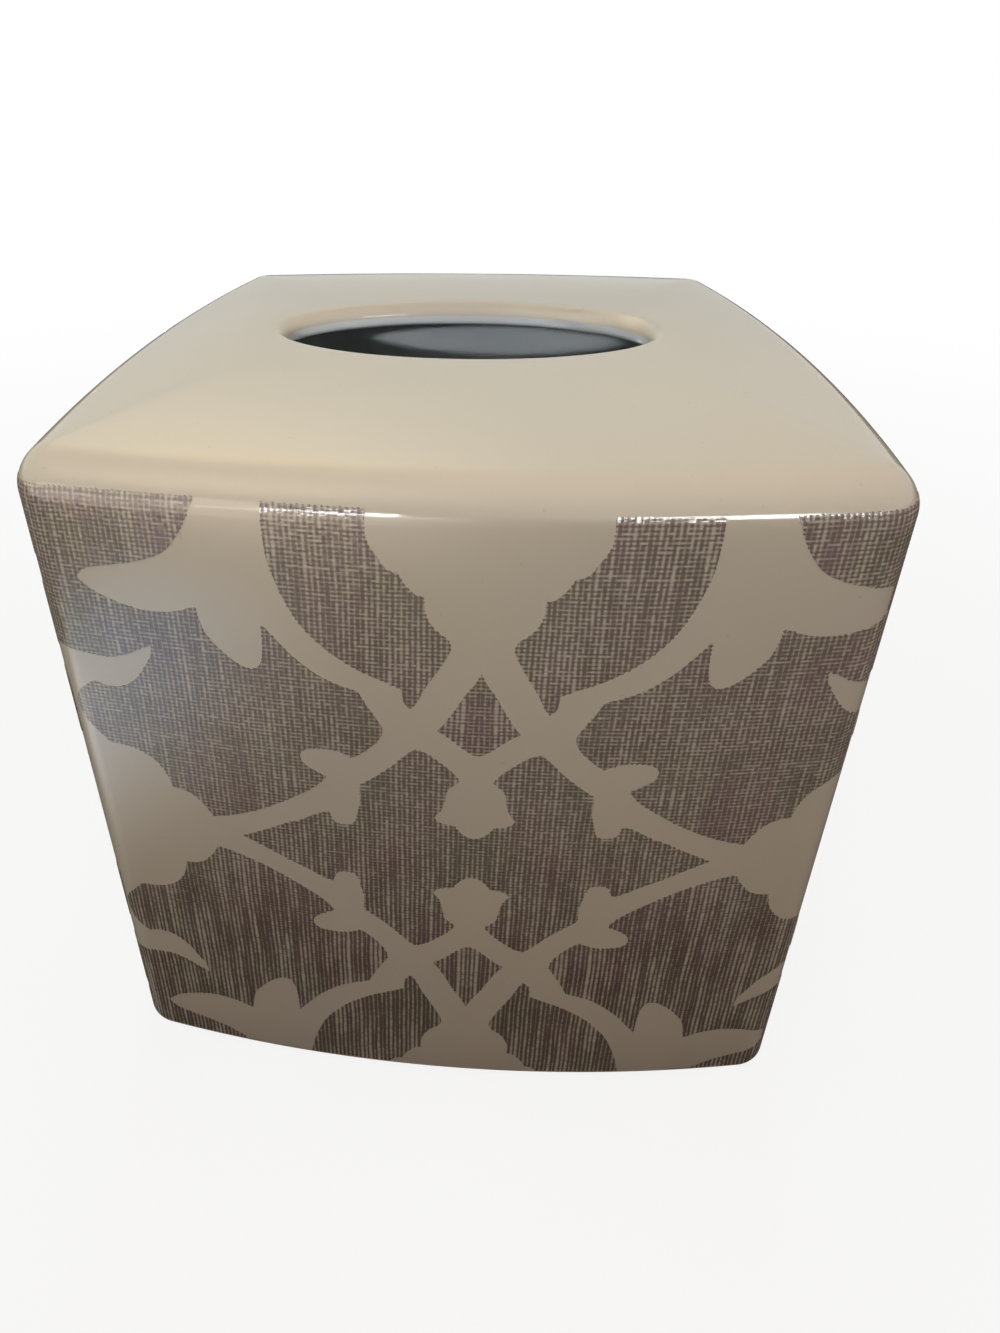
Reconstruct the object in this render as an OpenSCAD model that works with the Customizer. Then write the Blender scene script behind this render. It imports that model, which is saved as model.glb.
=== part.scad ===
// Tissue box cover: an open-bottomed ceramic shell with a transfer print on each side.
// The origin is the centre of the foot rim, +Z is up and the front is towards -Y.

/* [Body] */
// Width and depth of the cover, across the middles of opposite walls
body_w = 150; // [140:1:170]
// Height of the shoulder's top edge above the table
shoulder_z = 143.5; // [135:0.5:160]
// Thickness of the cast wall
wall = 5.5; // [5:0.1:7]
// Radius of the shallow bow of each wall, seen from above
bow_r = 412; // [330:1:600]
// Radius of the upright corners
corner_r = 8; // [7.8:0.1:12]
// Radius of the shoulder, where the walls turn into the top
shoulder_r = 7.5; // [5:0.1:7.6]
// Radius of the outer edge at the foot
foot_r = 2; // [1:0.1:2.5]
// Radius of the inner edge at the foot
foot_inner_r = 1; // [0.5:0.1:1.4]
// Radius of the hollow's top edge
hollow_r = 2; // [1:0.1:2.2]

/* [Opening] */
// Length of the oval opening at its narrowest level, left to right
slot_l = 82; // [70:1:90]
// Width of the oval opening, front to back
slot_w = 43; // [36:1:50]
// Rise of the crowned top from the shoulder to the opening
crown_rise = 2; // [1:0.1:4]
// Thickness of the top around the opening
top_t = 5.5; // [5:0.1:7]
// Radius of the lip's upper edge
lip_r = 3; // [2:0.1:3.5]
// Radius of the lip's lower edge
lip_under_r = 1.5; // [1:0.1:1.8]

/* [Print] */
// Height of the print's lower edge above the table
print_low_z = 2; // [1:0.1:6]
// Height that the print climbs over the start of the shoulder
print_over = 3; // [0.5:0.1:4.5]
// Drop from the print's upper edge to the ornament's middle line
motif_drop = 70.8; // [60:0.1:80]
// Height from the middle line to the top of the full ornament
motif_half_h = 70; // [60:0.5:80]
// Distance of the ornament's middle from the middle of its wall, to the right
motif_right = 4.8; // [0:0.1:6]
// Drop of the sheet's ends, as it was laid on by hand
sheet_drop = 0.45; // [0.3:0.05:1]
// Lean of the sheet to the right, as a share of height
lean_share = 0.018; // [0:0.001:0.03]
// Fall of the sheet to the right, as a share of the length along its wall
fall_share = 0.011; // [0:0.001:0.012]
// Where the longer lower end of the ornament starts, as a share of motif_half_h below its middle line
low_from_share = 0.35; // [0.3:0.01:0.5]
// How much longer that end is than the upper one
low_stretch_share = 0.1; // [0:0.01:0.15]
// Thickness of the fired colour
print_t = 0.15; // [0.1:0.05:0.3]
// Clearance of the print over the true wall surface
print_lift = 0.05; // [0.03:0.01:0.1]

/* [Smoothness] */
// Facets along each bowed wall
bow_steps = 12; // [6:1:16]
// Facets round each upright corner
corner_steps = 8; // [4:1:10]
// Straight pieces between two points of the ornament
curve_steps = 2; // [1:1:3]

/* [Hidden] */

shoulder_steps = 8;
crown_steps = 6;
lip_steps = 5;
edge_steps = 3;
shoulder_turn = 84;
print_turn_steps = 3;
sheet_bow_facets = 360;
sheet_corner_facets = 96;
print_mid = print_lift + print_t / 2;

half_w = body_w / 2;
bow_centre = half_w - bow_r;
// A corner's centre lies on the diagonal, bow_r - corner_r away from both neighbouring bow centres
corner_c = (bow_centre + sqrt(2 * pow(bow_r - corner_r, 2) - pow(bow_centre, 2))) / 2;
bow_turn = asin(corner_c / (bow_r - corner_r));
corner_turn = 90 - 2 * bow_turn;

rim_z = shoulder_z + crown_rise;
hollow_z = rim_z - top_t;
shoulder_mid_z = shoulder_z - shoulder_r;
hollow_mid_z = shoulder_z - top_t - hollow_r;
print_top_z = shoulder_mid_z + print_over;
motif_mid_z = print_top_z - motif_drop;

// Lengths along the wall: half of a bow, half of a corner, and half of the whole side
function arc_len(r, turn) = r * turn * PI / 180;
bow_half = arc_len(bow_r, bow_turn);
corner_half = arc_len(corner_r, corner_turn / 2);
side_half = bow_half + corner_half;

// A turned point
function turned(p, a) = [p.x * cos(a) - p.y * sin(a), p.x * sin(a) + p.y * cos(a)];

// One side of the plan, set in by i: half of the +X bow up to the middle of the corner and on to the +Y bow
function plan_quarter(i) = concat(
    [for (s = [0 : bow_steps - 1])
        let (a = bow_turn * (2 * s / bow_steps - 1))
        [bow_centre + (bow_r - i) * cos(a), (bow_r - i) * sin(a)]],
    [for (s = [0 : corner_steps - 1])
        let (a = bow_turn + corner_turn * s / corner_steps)
        [corner_c + (corner_r - i) * cos(a), corner_c + (corner_r - i) * sin(a)]]
);
function plan(i) = [for (k = [0 : 3]) for (p = plan_quarter(i)) turned(p, 90 * k)];

// The oval of the opening, set out by d, with one point for each point of the plan
function oval(d) = [
    for (p = plan(0))
        let (a = atan2(p.y, p.x))
        [(slot_l / 2 + d) * cos(a), (slot_w / 2 + d) * sin(a)]
];

function at_height(ring, z) = [for (p = ring) [p.x, p.y, z]];
function between(ring_a, ring_b, m) = [for (k = [0 : len(ring_a) - 1]) ring_a[k] * (1 - m) + ring_b[k] * m];

shoulder_end_in = shoulder_r * (1 - cos(shoulder_turn));
shoulder_end_z = shoulder_mid_z + shoulder_r * sin(shoulder_turn);

// Rings of the shell in order: foot, outer wall, shoulder, crown, lip, hollow's top and inner wall
shell_rings = concat(
    [for (s = [0 : edge_steps])
        let (a = 90 * s / edge_steps)
        at_height(plan(foot_r * (1 - sin(a))), foot_r * (1 - cos(a)))],
    [for (s = [0 : shoulder_steps])
        let (a = shoulder_turn * s / shoulder_steps)
        at_height(plan(shoulder_r * (1 - cos(a))), shoulder_mid_z + shoulder_r * sin(a))],
    [for (s = [1 : crown_steps - 1])
        let (m = s / crown_steps)
        at_height(
            between(plan(shoulder_end_in), oval(lip_r), m),
            shoulder_end_z + (rim_z - shoulder_end_z) * sin(90 * m)
        )],
    [for (s = [0 : lip_steps])
        let (a = 90 * s / lip_steps)
        at_height(oval(lip_r * (1 - sin(a))), rim_z - lip_r * (1 - cos(a)))],
    [for (s = [0 : edge_steps])
        let (a = 90 * s / edge_steps)
        at_height(oval(lip_under_r * (1 - cos(a))), hollow_z + lip_under_r * (1 - sin(a)))],
    [for (s = [1 : edge_steps])
        let (m = s / (edge_steps + 1))
        at_height(
            between(oval(lip_under_r), plan(wall + hollow_r), m),
            hollow_z - (hollow_z - hollow_mid_z - hollow_r) * (1 - cos(90 * m))
        )],
    [for (s = [0 : edge_steps])
        let (a = 90 * s / edge_steps)
        at_height(plan(wall + hollow_r * (1 - sin(a))), hollow_mid_z + hollow_r * cos(a))],
    [for (s = [0 : edge_steps])
        let (a = 90 * s / edge_steps)
        at_height(plan(wall - foot_inner_r * (1 - cos(a))), foot_inner_r * (1 - sin(a)))]
);

// A closed skin over rings of equal length that follow each other in a loop
module ring_solid(rings) {
    n = len(rings[0]);
    count = len(rings);
    points = [for (ring = rings) for (p = ring) p];
    faces = [
        for (j = [0 : count - 1])
            for (k = [0 : n - 1])
                let (
                    a = j * n + k,
                    b = j * n + (k + 1) % n,
                    c = ((j + 1) % count) * n + (k + 1) % n,
                    d = ((j + 1) % count) * n + k
                )
                for (face = [[a, c, b], [a, d, c]]) face
    ];
    polyhedron(points = points, faces = faces, convexity = 6);
}

module ceramic_body() {
    color([0.80, 0.76, 0.68]) ring_solid(shell_rings);
}

// Outlines of the printed islands in one quarter of the ornament. Each point is a share of the side's half length
// and a share of motif_half_h, from the ornament's middle. A third value of 1 marks a sharp point. The ornament is
// wider than its side, and the sheet's ends at the middles of the corners trim it.

// Beside the upper palmette, down to the crossing of the stems
palmette_gap_shares = [
    [0.261, 1.03, 1], [0.261, 0.946], [0.236, 0.899], [0.217, 0.871], [0.192, 0.863, 1], [0.175, 0.833],
    [0.151, 0.809], [0.134, 0.806, 1], [0.130, 0.760], [0.111, 0.723], [0.082, 0.699, 1], [0.073, 0.669],
    [0.096, 0.617], [0.131, 0.554], [0.151, 0.509], [0.164, 0.491, 1], [0.180, 0.509], [0.185, 0.547, 1],
    [0.221, 0.564], [0.284, 0.593], [0.354, 0.640], [0.413, 0.703], [0.448, 0.766], [0.472, 0.833],
    [0.486, 0.900], [0.489, 1.03, 1]
];

// Round the leaf spray, the small side leaf and the side palmette, out past the sheet's end
spray_gap_shares = [
    [1.12, 1.03, 1], [0.640, 1.03, 1], [0.664, 0.957], [0.690, 0.914], [0.725, 0.874], [0.779, 0.847],
    [0.844, 0.829], [0.902, 0.817], [0.943, 0.803], [0.964, 0.780, 1], [0.932, 0.751], [0.888, 0.729],
    [0.837, 0.713], [0.786, 0.706], [0.728, 0.711], [0.689, 0.724], [0.668, 0.731, 1], [0.662, 0.693],
    [0.649, 0.654], [0.614, 0.610], [0.576, 0.579], [0.544, 0.570], [0.523, 0.589], [0.514, 0.629],
    [0.511, 0.700, 1], [0.483, 0.666], [0.440, 0.616], [0.383, 0.569], [0.329, 0.543], [0.291, 0.529],
    [0.272, 0.494], [0.250, 0.457], [0.233, 0.423], [0.242, 0.389], [0.269, 0.356], [0.295, 0.333],
    [0.310, 0.324, 1], [0.344, 0.339], [0.386, 0.344], [0.425, 0.337], [0.443, 0.319], [0.438, 0.291],
    [0.413, 0.270], [0.380, 0.251, 1], [0.410, 0.214], [0.457, 0.177], [0.517, 0.137], [0.582, 0.100],
    [0.646, 0.073], [0.702, 0.057, 1], [0.718, 0.086], [0.747, 0.123], [0.777, 0.139], [0.809, 0.144, 1],
    [0.817, 0.183], [0.836, 0.220], [0.868, 0.249], [0.912, 0.267], [0.968, 0.273, 1], [1.000, 0.307],
    [1.032, 0.346], [1.047, 0.390], [1.030, 0.433], [0.980, 0.472, 1], [0.938, 0.462], [0.895, 0.469],
    [0.856, 0.497], [0.827, 0.537], [0.804, 0.574], [0.798, 0.606, 1], [0.830, 0.591], [0.873, 0.569],
    [0.942, 0.556], [1.12, 0.580, 1]
];

// Right half of the small diamond between the upper stems
diamond_shares = [
    [0, 0.603, 1], [0.017, 0.569], [0.039, 0.534], [0.067, 0.479], [0.087, 0.446], [0.100, 0.429, 1],
    [0.073, 0.410], [0.044, 0.384], [0.015, 0.361], [0, 0.357, 1]
];

// Upper right quarter of the cross in the middle, round the buds
cross_shares = [
    [0, 0.073, 1], [0.017, 0.077], [0.036, 0.094], [0.052, 0.116, 1], [0.079, 0.120],
    [0.096, 0.129], [0.103, 0.144, 1], [0.087, 0.166], [0.079, 0.199], [0.071, 0.240], [0.055, 0.256],
    [0.042, 0.271, 1], [0.061, 0.299], [0.095, 0.331], [0.128, 0.357], [0.154, 0.366, 1], [0.178, 0.344],
    [0.213, 0.304], [0.250, 0.269], [0.281, 0.243], [0.294, 0.226], [0.294, 0.179], [0.303, 0.131],
    [0.313, 0.099], [0.329, 0.090], [0.352, 0.090], [0.368, 0.101], [0.378, 0.130, 1], [0.408, 0.119],
    [0.451, 0.093], [0.498, 0.069], [0.553, 0.037], [0.597, 0.013], [0.623, 0, 1]
];

// The same outline flipped and run backwards, so that it carries on from the first
function flipped(points, flip_x, flip_z) = [
    for (k = [len(points) - 1 : -1 : 0])
        let (p = points[k])
        concat([flip_x * p.x, flip_z * p.y], len(p) == 3 ? [1] : [])
];
// Both halves of an outline that starts and ends on the line x = 0
function both_sides(points) = concat(points, [
    for (p = flipped(points, -1, 1)) if (p.x != 0) p
]);
// An outline that starts on x = 0 and ends on z = 0, carried on below
function above_and_below(points) = concat(points, [
    for (p = flipped(points, 1, -1)) if (p.y != 0) p
]);

// A smooth curve from b to c, where a and d are the points before and after
function eased(a, b, c, d, t) =
    b + (c - a) * t / 2
    + (2 * a - 5 * b + 4 * c - d) * pow(t, 2) / 2
    + (3 * b - a - 3 * c + d) * pow(t, 3) / 2;
function is_sharp(p) = len(p) == 3;
function flat(p) = [p.x, p.y];
function smooth_outline(points) = [
    for (k = [0 : len(points) - 1])
        let (
            n = len(points),
            b = points[k],
            c = points[(k + 1) % n],
            a = is_sharp(b) ? b : points[(k + n - 1) % n],
            d = is_sharp(c) ? c : points[(k + 2) % n],
            steps = is_sharp(b) && is_sharp(c) ? 1 : curve_steps
        )
        for (s = [0 : steps - 1]) eased(flat(a), flat(b), flat(c), flat(d), s / steps)
];

// Where a length along the wall, from the middle of the side, lies when the wall is seen square on
function corner_angle(u) = min(90, bow_turn + (abs(u) - bow_half) / corner_r * 180 / PI);
function seen_x(u) = abs(u) <= bow_half
    ? (bow_r + print_mid) * sin(u / bow_half * bow_turn)
    : sign(u) * (corner_c + (corner_r + print_mid) * sin(corner_angle(u)));

// How far the sheet has slipped down at a length along the wall: alike at both ends, so that neighbours meet
function slip(u) =
    sheet_drop + fall_share * (u - motif_right) * max(0, 1 - pow(u / side_half, 4));
function stretched(share, flip_z) =
    flip_z < 0 ? share + low_stretch_share * max(0, share - low_from_share) : share;

module island(shares, flip_x = 1, flip_z = 1) {
    polygon([
        for (p = smooth_outline(shares))
            let (
                u = flip_x * p.x * side_half + motif_right,
                z = min(motif_mid_z + flip_z * stretched(p.y, flip_z) * motif_half_h, print_top_z)
            )
            [seen_x(u + lean_share * (z - motif_mid_z)), z - slip(u)]
    ]);
}

// The printed ground that the bare stems and leaves stand out from
module printed_ground() {
    island(both_sides(above_and_below(cross_shares)));
    for (flip_z = [-1, 1]) {
        island(both_sides(diamond_shares), 1, flip_z);
        for (flip_x = [-1, 1]) {
            island(palmette_gap_shares, flip_x, flip_z);
            island(spray_gap_shares, flip_x, flip_z);
        }
    }
}

// Section of the sheet of colour: up the wall and over the start of the shoulder, for a wall at radius r
module sheet_section(r) {
    turn = asin(print_over / shoulder_r);
    function side(lift) = concat(
        [[r + lift, print_low_z]],
        [for (s = [0 : print_turn_steps])
            let (a = turn * s / print_turn_steps)
            [r - shoulder_r + (shoulder_r + lift) * cos(a), shoulder_mid_z + (shoulder_r + lift) * sin(a)]]
    );
    outer = side(print_lift + print_t);
    inner = side(print_lift);
    polygon(concat(outer, [for (k = [len(inner) - 1 : -1 : 0]) inner[k]]));
}

// The whole sheet, before it is cut down to the printed ground: one wall and half of the corner at either end
module sheet_blank() {
    translate([0, -bow_centre, 0])
        rotate([0, 0, -90 - bow_turn])
            rotate_extrude(angle = 2 * bow_turn, $fn = sheet_bow_facets) sheet_section(bow_r);
    for (end = [-1, 1])
        translate([end * corner_c, -corner_c, 0])
            rotate([0, 0, end < 0 ? -135 : -90 + bow_turn])
                rotate_extrude(angle = corner_turn / 2, $fn = sheet_corner_facets) sheet_section(corner_r);
}

module print_sheet() {
    color([0.45, 0.40, 0.36]) intersection() {
        sheet_blank();
        rotate([90, 0, 0]) linear_extrude(height = body_w) printed_ground();
    }
}

module print_front() { print_sheet(); }
module print_right() { rotate([0, 0, 90]) print_sheet(); }
module print_back() { rotate([0, 0, 180]) print_sheet(); }
module print_left() { rotate([0, 0, 270]) print_sheet(); }

ceramic_body();
print_front();
print_right();
print_back();
print_left();
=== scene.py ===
# Tissue box cover: a glazed ceramic shell with a fired transfer print on each of its four walls.
import math
import random
from collections import namedtuple
import bmesh
import bpy
from mathutils import Matrix, Vector

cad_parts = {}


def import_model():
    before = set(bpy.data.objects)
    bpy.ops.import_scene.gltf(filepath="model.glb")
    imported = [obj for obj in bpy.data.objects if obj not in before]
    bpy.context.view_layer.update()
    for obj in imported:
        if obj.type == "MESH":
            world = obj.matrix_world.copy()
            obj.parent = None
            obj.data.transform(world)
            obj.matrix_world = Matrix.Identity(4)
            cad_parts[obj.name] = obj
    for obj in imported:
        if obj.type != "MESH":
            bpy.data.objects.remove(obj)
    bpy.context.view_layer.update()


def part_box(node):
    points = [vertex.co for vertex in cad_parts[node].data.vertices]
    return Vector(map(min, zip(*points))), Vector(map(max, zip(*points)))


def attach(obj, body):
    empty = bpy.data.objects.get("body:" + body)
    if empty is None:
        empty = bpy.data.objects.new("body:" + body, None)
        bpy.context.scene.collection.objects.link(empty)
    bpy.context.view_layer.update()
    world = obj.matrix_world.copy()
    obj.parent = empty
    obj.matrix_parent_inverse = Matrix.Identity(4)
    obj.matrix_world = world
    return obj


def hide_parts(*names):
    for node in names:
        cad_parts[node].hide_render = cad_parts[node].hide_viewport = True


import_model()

# Sizes in metres. The frame gives the outer ones, and the rest repeat the part's own driving sizes.
mm = 0.001
body_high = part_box("ceramic_body")[1]
half_w = body_high.x
rim_z = body_high.z
print_low_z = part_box("print_front")[0].z

crown_rise = 2 * mm
wall = 5.5 * mm
top_t = 5.5 * mm
bow_r = 412 * mm
corner_r = 8 * mm
shoulder_r = 7.5 * mm
foot_r = 2 * mm
foot_inner_r = 1 * mm
hollow_r = 2 * mm
slot_half_l = 41 * mm
slot_half_w = 21.5 * mm
lip_r = 3 * mm
lip_under_r = 1.5 * mm
print_over = 3 * mm
motif_drop = 70.8 * mm
motif_half_h = 70 * mm
motif_right = 4.8 * mm

# How a hand-laid sheet lies: how far down it is, how steeply it leans and falls to the right, and how
# late its fall fades towards both ends
sheet_drop = 0.45 * mm
lean_share = 0.018
fall_share = 0.011
fall_fade = 4

# The linen that the print shows: the pitch of its threads, and how far their ends fray the printed edges
warp_pitch = 0.91 * mm
weft_pitch = 0.78 * mm
fray_least = -0.04 * mm
fray_most = 0.16 * mm
# A frayed edge is a squared-off wave: its steepness, and how far it draws back between two threads
fray_steepness = 1.7
fray_gap_share = -0.8
warp_seed = 1000
weft_seed = 5000
# How gradually a printed thread's edge fades, as a share of the threads' pitch
edge_soft = 0.34
# The fired colour lies between these heights over the wall
film_low = 0.03 * mm
film_high = 0.10 * mm

# How finely the shell and the prints are cut
bow_steps = 40
corner_steps = 16
wall_steps = 12
shoulder_steps = 16
crown_steps = 18
lip_steps = 12
edge_steps = 6
outline_step = 0.18 * mm
print_bow_step = 2.2 * mm
print_corner_step = 0.42 * mm
print_shoulder_step = 0.5 * mm
# Places closer than these, and angles closer than the slack, count as the same
merge_dist = 0.002 * mm
cut_dist = 0.0002 * mm
turn_slack = 1e-6
# Edges that turn more than this stay sharp
crease_angle = math.radians(50)

shoulder_z = rim_z - crown_rise
shoulder_mid_z = shoulder_z - shoulder_r
shoulder_turn = math.radians(84)
hollow_z = rim_z - top_t
hollow_mid_z = shoulder_z - top_t - hollow_r
print_top_z = shoulder_mid_z + print_over
motif_mid_z = print_top_z - motif_drop

bow_centre = half_w - bow_r
corner_c = (bow_centre + math.sqrt(2 * (bow_r - corner_r) ** 2 - bow_centre**2)) / 2
bow_turn = math.asin(corner_c / (bow_r - corner_r))
corner_turn = math.pi / 2 - 2 * bow_turn
bow_half = bow_r * bow_turn
corner_half = corner_r * corner_turn / 2
side_half = bow_half + corner_half

up = Vector((0, 0, 1))


# Small helpers for meshes
def finish_piece(bm, name, materials, replaced):
    """Makes a named piece of the bmesh, in place of the CAD node that it stands for."""
    mesh = bpy.data.meshes.new(name)
    bm.to_mesh(mesh)
    bm.free()
    for material in materials:
        mesh.materials.append(material)
    piece = bpy.data.objects.new(name, mesh)
    bpy.context.collection.objects.link(piece)
    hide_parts(replaced)
    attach(piece, "root")
    return piece


def whole(bm):
    """Everything in the bmesh, as the operators take it."""
    return bm.verts[:] + bm.edges[:] + bm.faces[:]


def steps_between(low, high, step):
    """Evenly spaced places from low to high, about a step apart, with both ends."""
    count = max(1, round((high - low) / step))
    return [low + (high - low) * k / count for k in range(count + 1)]


# The shell's plan
def outward(point):
    """The direction square to the wall at a point of the plan."""
    quarter = round(math.atan2(point.y, point.x) / (math.pi / 2))
    turn = Matrix.Rotation(quarter * math.pi / 2, 3, "Z")
    seen = turn.transposed() @ point
    angle = math.atan2(seen.y, seen.x - bow_centre)
    if abs(angle) <= bow_turn + turn_slack:
        centre = Vector((bow_centre, 0, 0))
    else:
        centre = Vector((corner_c, math.copysign(corner_c, seen.y), 0))
    return turn @ (seen - centre).normalized()


def plan_ring(bm):
    """The outline of the walls, as a closed loop of edges that starts with the +X wall."""
    start = bm.verts.new((bow_centre + bow_r * math.cos(bow_turn), -bow_r * math.sin(bow_turn), 0))
    bow = bmesh.ops.spin(
        bm, geom=[start], cent=(bow_centre, 0, 0), axis=up, angle=2 * bow_turn, steps=bow_steps
    )
    bmesh.ops.spin(
        bm,
        geom=[g for g in bow["geom_last"] if isinstance(g, bmesh.types.BMVert)],
        cent=(corner_c, corner_c, 0),
        axis=up,
        angle=corner_turn,
        steps=corner_steps,
    )
    bmesh.ops.spin(
        bm, geom=whole(bm), cent=(0, 0, 0), axis=up, angle=1.5 * math.pi, steps=3, use_duplicate=True
    )
    bmesh.ops.remove_doubles(bm, verts=bm.verts, dist=merge_dist)


# Rings of the shell's section. Each gives the place of a plan point with its outward direction.
def wall_ring(inset, z):
    """A ring of the walls, drawn in from their outside, at height z."""
    return lambda point, out: point - out * inset + up * z


def oval_ring(margin, z):
    """A ring round the oval opening, a margin outside it, at height z."""

    def place(point, out):
        angle = math.atan2(point.y, point.x)
        reach_x = (slot_half_l + margin) * math.cos(angle)
        reach_y = (slot_half_w + margin) * math.sin(angle)
        return Vector((reach_x, reach_y, z))

    return place


def crown_ring(share):
    """A ring of the top, which leaves the shoulder along its slope and is level at the lip."""
    start = wall_ring(
        shoulder_r * (1 - math.cos(shoulder_turn)), shoulder_mid_z + shoulder_r * math.sin(shoulder_turn)
    )
    end = oval_ring(lip_r, rim_z)
    slope = 1 / math.tan(shoulder_turn)

    def place(point, out):
        a = start(point, out)
        b = end(point, out)
        at = a.lerp(b, share)
        climb = (b.z - a.z) * (3 * share**2 - 2 * share**3)
        lift = slope * (b - a).xy.length * (share**3 - 2 * share**2 + share)
        at.z = a.z + climb + lift
        return at

    return place


def ceiling_ring(share):
    """A ring of the hollow's ceiling, between the lip and the inner walls."""
    start = oval_ring(lip_under_r, hollow_z)
    end = wall_ring(wall + hollow_r, hollow_mid_z + hollow_r)

    def place(point, out):
        a = start(point, out)
        b = end(point, out)
        at = a.lerp(b, share)
        at.z = a.z - (a.z - b.z) * (1 - math.cos(share * math.pi / 2))
        return at

    return place


def turns(steps, turn=math.pi / 2, first=1):
    """Evenly spaced angles up to the turn, from the first step on."""
    return [turn * k / steps for k in range(first, steps + 1)]


def foot_rings():
    """Round the outer edge of the foot, from the table up."""
    return [wall_ring(foot_r * (1 - math.sin(a)), foot_r * (1 - math.cos(a))) for a in turns(edge_steps)]


def outer_rings():
    """Up the wall, over the shoulder and the crowned top, and round the lip."""
    rise = shoulder_mid_z - foot_r
    rings = [wall_ring(0, foot_r + rise * k / wall_steps) for k in range(1, wall_steps + 1)]
    for a in turns(shoulder_steps, shoulder_turn):
        rings.append(wall_ring(shoulder_r * (1 - math.cos(a)), shoulder_mid_z + shoulder_r * math.sin(a)))
    rings += [crown_ring(k / crown_steps) for k in range(1, crown_steps)]
    for a in turns(lip_steps, first=0):
        rings.append(oval_ring(lip_r * (1 - math.sin(a)), rim_z - lip_r * (1 - math.cos(a))))
    return rings


def inner_rings():
    """Under the lip, across the hollow's ceiling and down the inner wall."""
    rings = []
    for a in turns(edge_steps, first=0):
        rings.append(oval_ring(lip_under_r * (1 - math.cos(a)), hollow_z + lip_under_r * (1 - math.sin(a))))
    rings += [ceiling_ring(k / crown_steps) for k in range(1, crown_steps)]
    for a in turns(edge_steps, first=0):
        rings.append(wall_ring(wall + hollow_r * (1 - math.sin(a)), hollow_mid_z + hollow_r * math.cos(a)))
    drop = hollow_mid_z - foot_inner_r
    rings += [wall_ring(wall, hollow_mid_z - drop * k / wall_steps) for k in range(1, wall_steps + 1)]
    return rings


def rim_rings():
    """Round the inner edge of the foot and back to where the section began."""
    rings = []
    for a in turns(edge_steps):
        rings.append(wall_ring(wall - foot_inner_r * (1 - math.cos(a)), foot_inner_r * (1 - math.sin(a))))
    return rings + [wall_ring(foot_r, 0)]


def skin(bm, edges, rings, material_index, plan):
    """Extrudes the open loop of edges from ring to ring, and gives back the last loop."""
    number = bm.verts.layers.int["number"]
    for ring in rings:
        before = set(bm.faces)
        grown = bmesh.ops.extrude_edge_only(bm, edges=edges)["geom"]
        moved = {g for g in grown if isinstance(g, bmesh.types.BMVert)}
        for v in moved:
            v.co = ring(*plan[v[number]])
        edges = [g for g in grown if isinstance(g, bmesh.types.BMEdge) and moved.issuperset(g.verts)]
        for face in set(bm.faces) - before:
            face.material_index = material_index
            face.smooth = True
    return edges


def glazed_shell(outer_glaze, biscuit, inner_glaze):
    """The whole cast body: one closed skin over the foot, the outside, the lip and the hollow."""
    on_outside = 0
    on_foot = 1
    on_inside = 2
    bm = bmesh.new()
    plan_ring(bm)
    number = bm.verts.layers.int.new("number")
    plan = []
    for k, v in enumerate(bm.verts):
        v[number] = k
        plan.append((v.co.copy(), outward(v.co)))
    first = wall_ring(foot_r, 0)
    for v in bm.verts:
        v.co = first(*plan[v[number]])
    edges = skin(bm, bm.edges[:], foot_rings(), on_foot, plan)
    edges = skin(bm, edges, outer_rings(), on_outside, plan)
    edges = skin(bm, edges, inner_rings(), on_inside, plan)
    skin(bm, edges, rim_rings(), on_foot, plan)
    bmesh.ops.remove_doubles(bm, verts=bm.verts, dist=merge_dist)
    bmesh.ops.recalc_face_normals(bm, faces=bm.faces)
    return finish_piece(bm, "glazed_shell", [outer_glaze, biscuit, inner_glaze], "ceramic_body")


# Outlines of the printed islands in one quarter of the ornament. Each point is a share of the side's
# half length and a share of motif_half_h, from the ornament's middle. A third value of 1 marks a sharp
# point. The ornament is wider than its side, and the sheet's ends at the middles of the corners trim it.

# Beside the upper palmette, down to the crossing of the stems
palmette_gap_shares = [
    (0.261, 1.03, 1), (0.261, 0.946), (0.236, 0.899), (0.217, 0.871), (0.192, 0.863, 1), (0.175, 0.833),
    (0.151, 0.809), (0.134, 0.806, 1), (0.130, 0.760), (0.111, 0.723), (0.082, 0.699, 1), (0.073, 0.669),
    (0.096, 0.617), (0.131, 0.554), (0.151, 0.509), (0.164, 0.491, 1), (0.180, 0.509), (0.185, 0.547, 1),
    (0.221, 0.564), (0.284, 0.593), (0.354, 0.640), (0.413, 0.703), (0.448, 0.766), (0.472, 0.833),
    (0.486, 0.900), (0.489, 1.03, 1),
]

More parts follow.
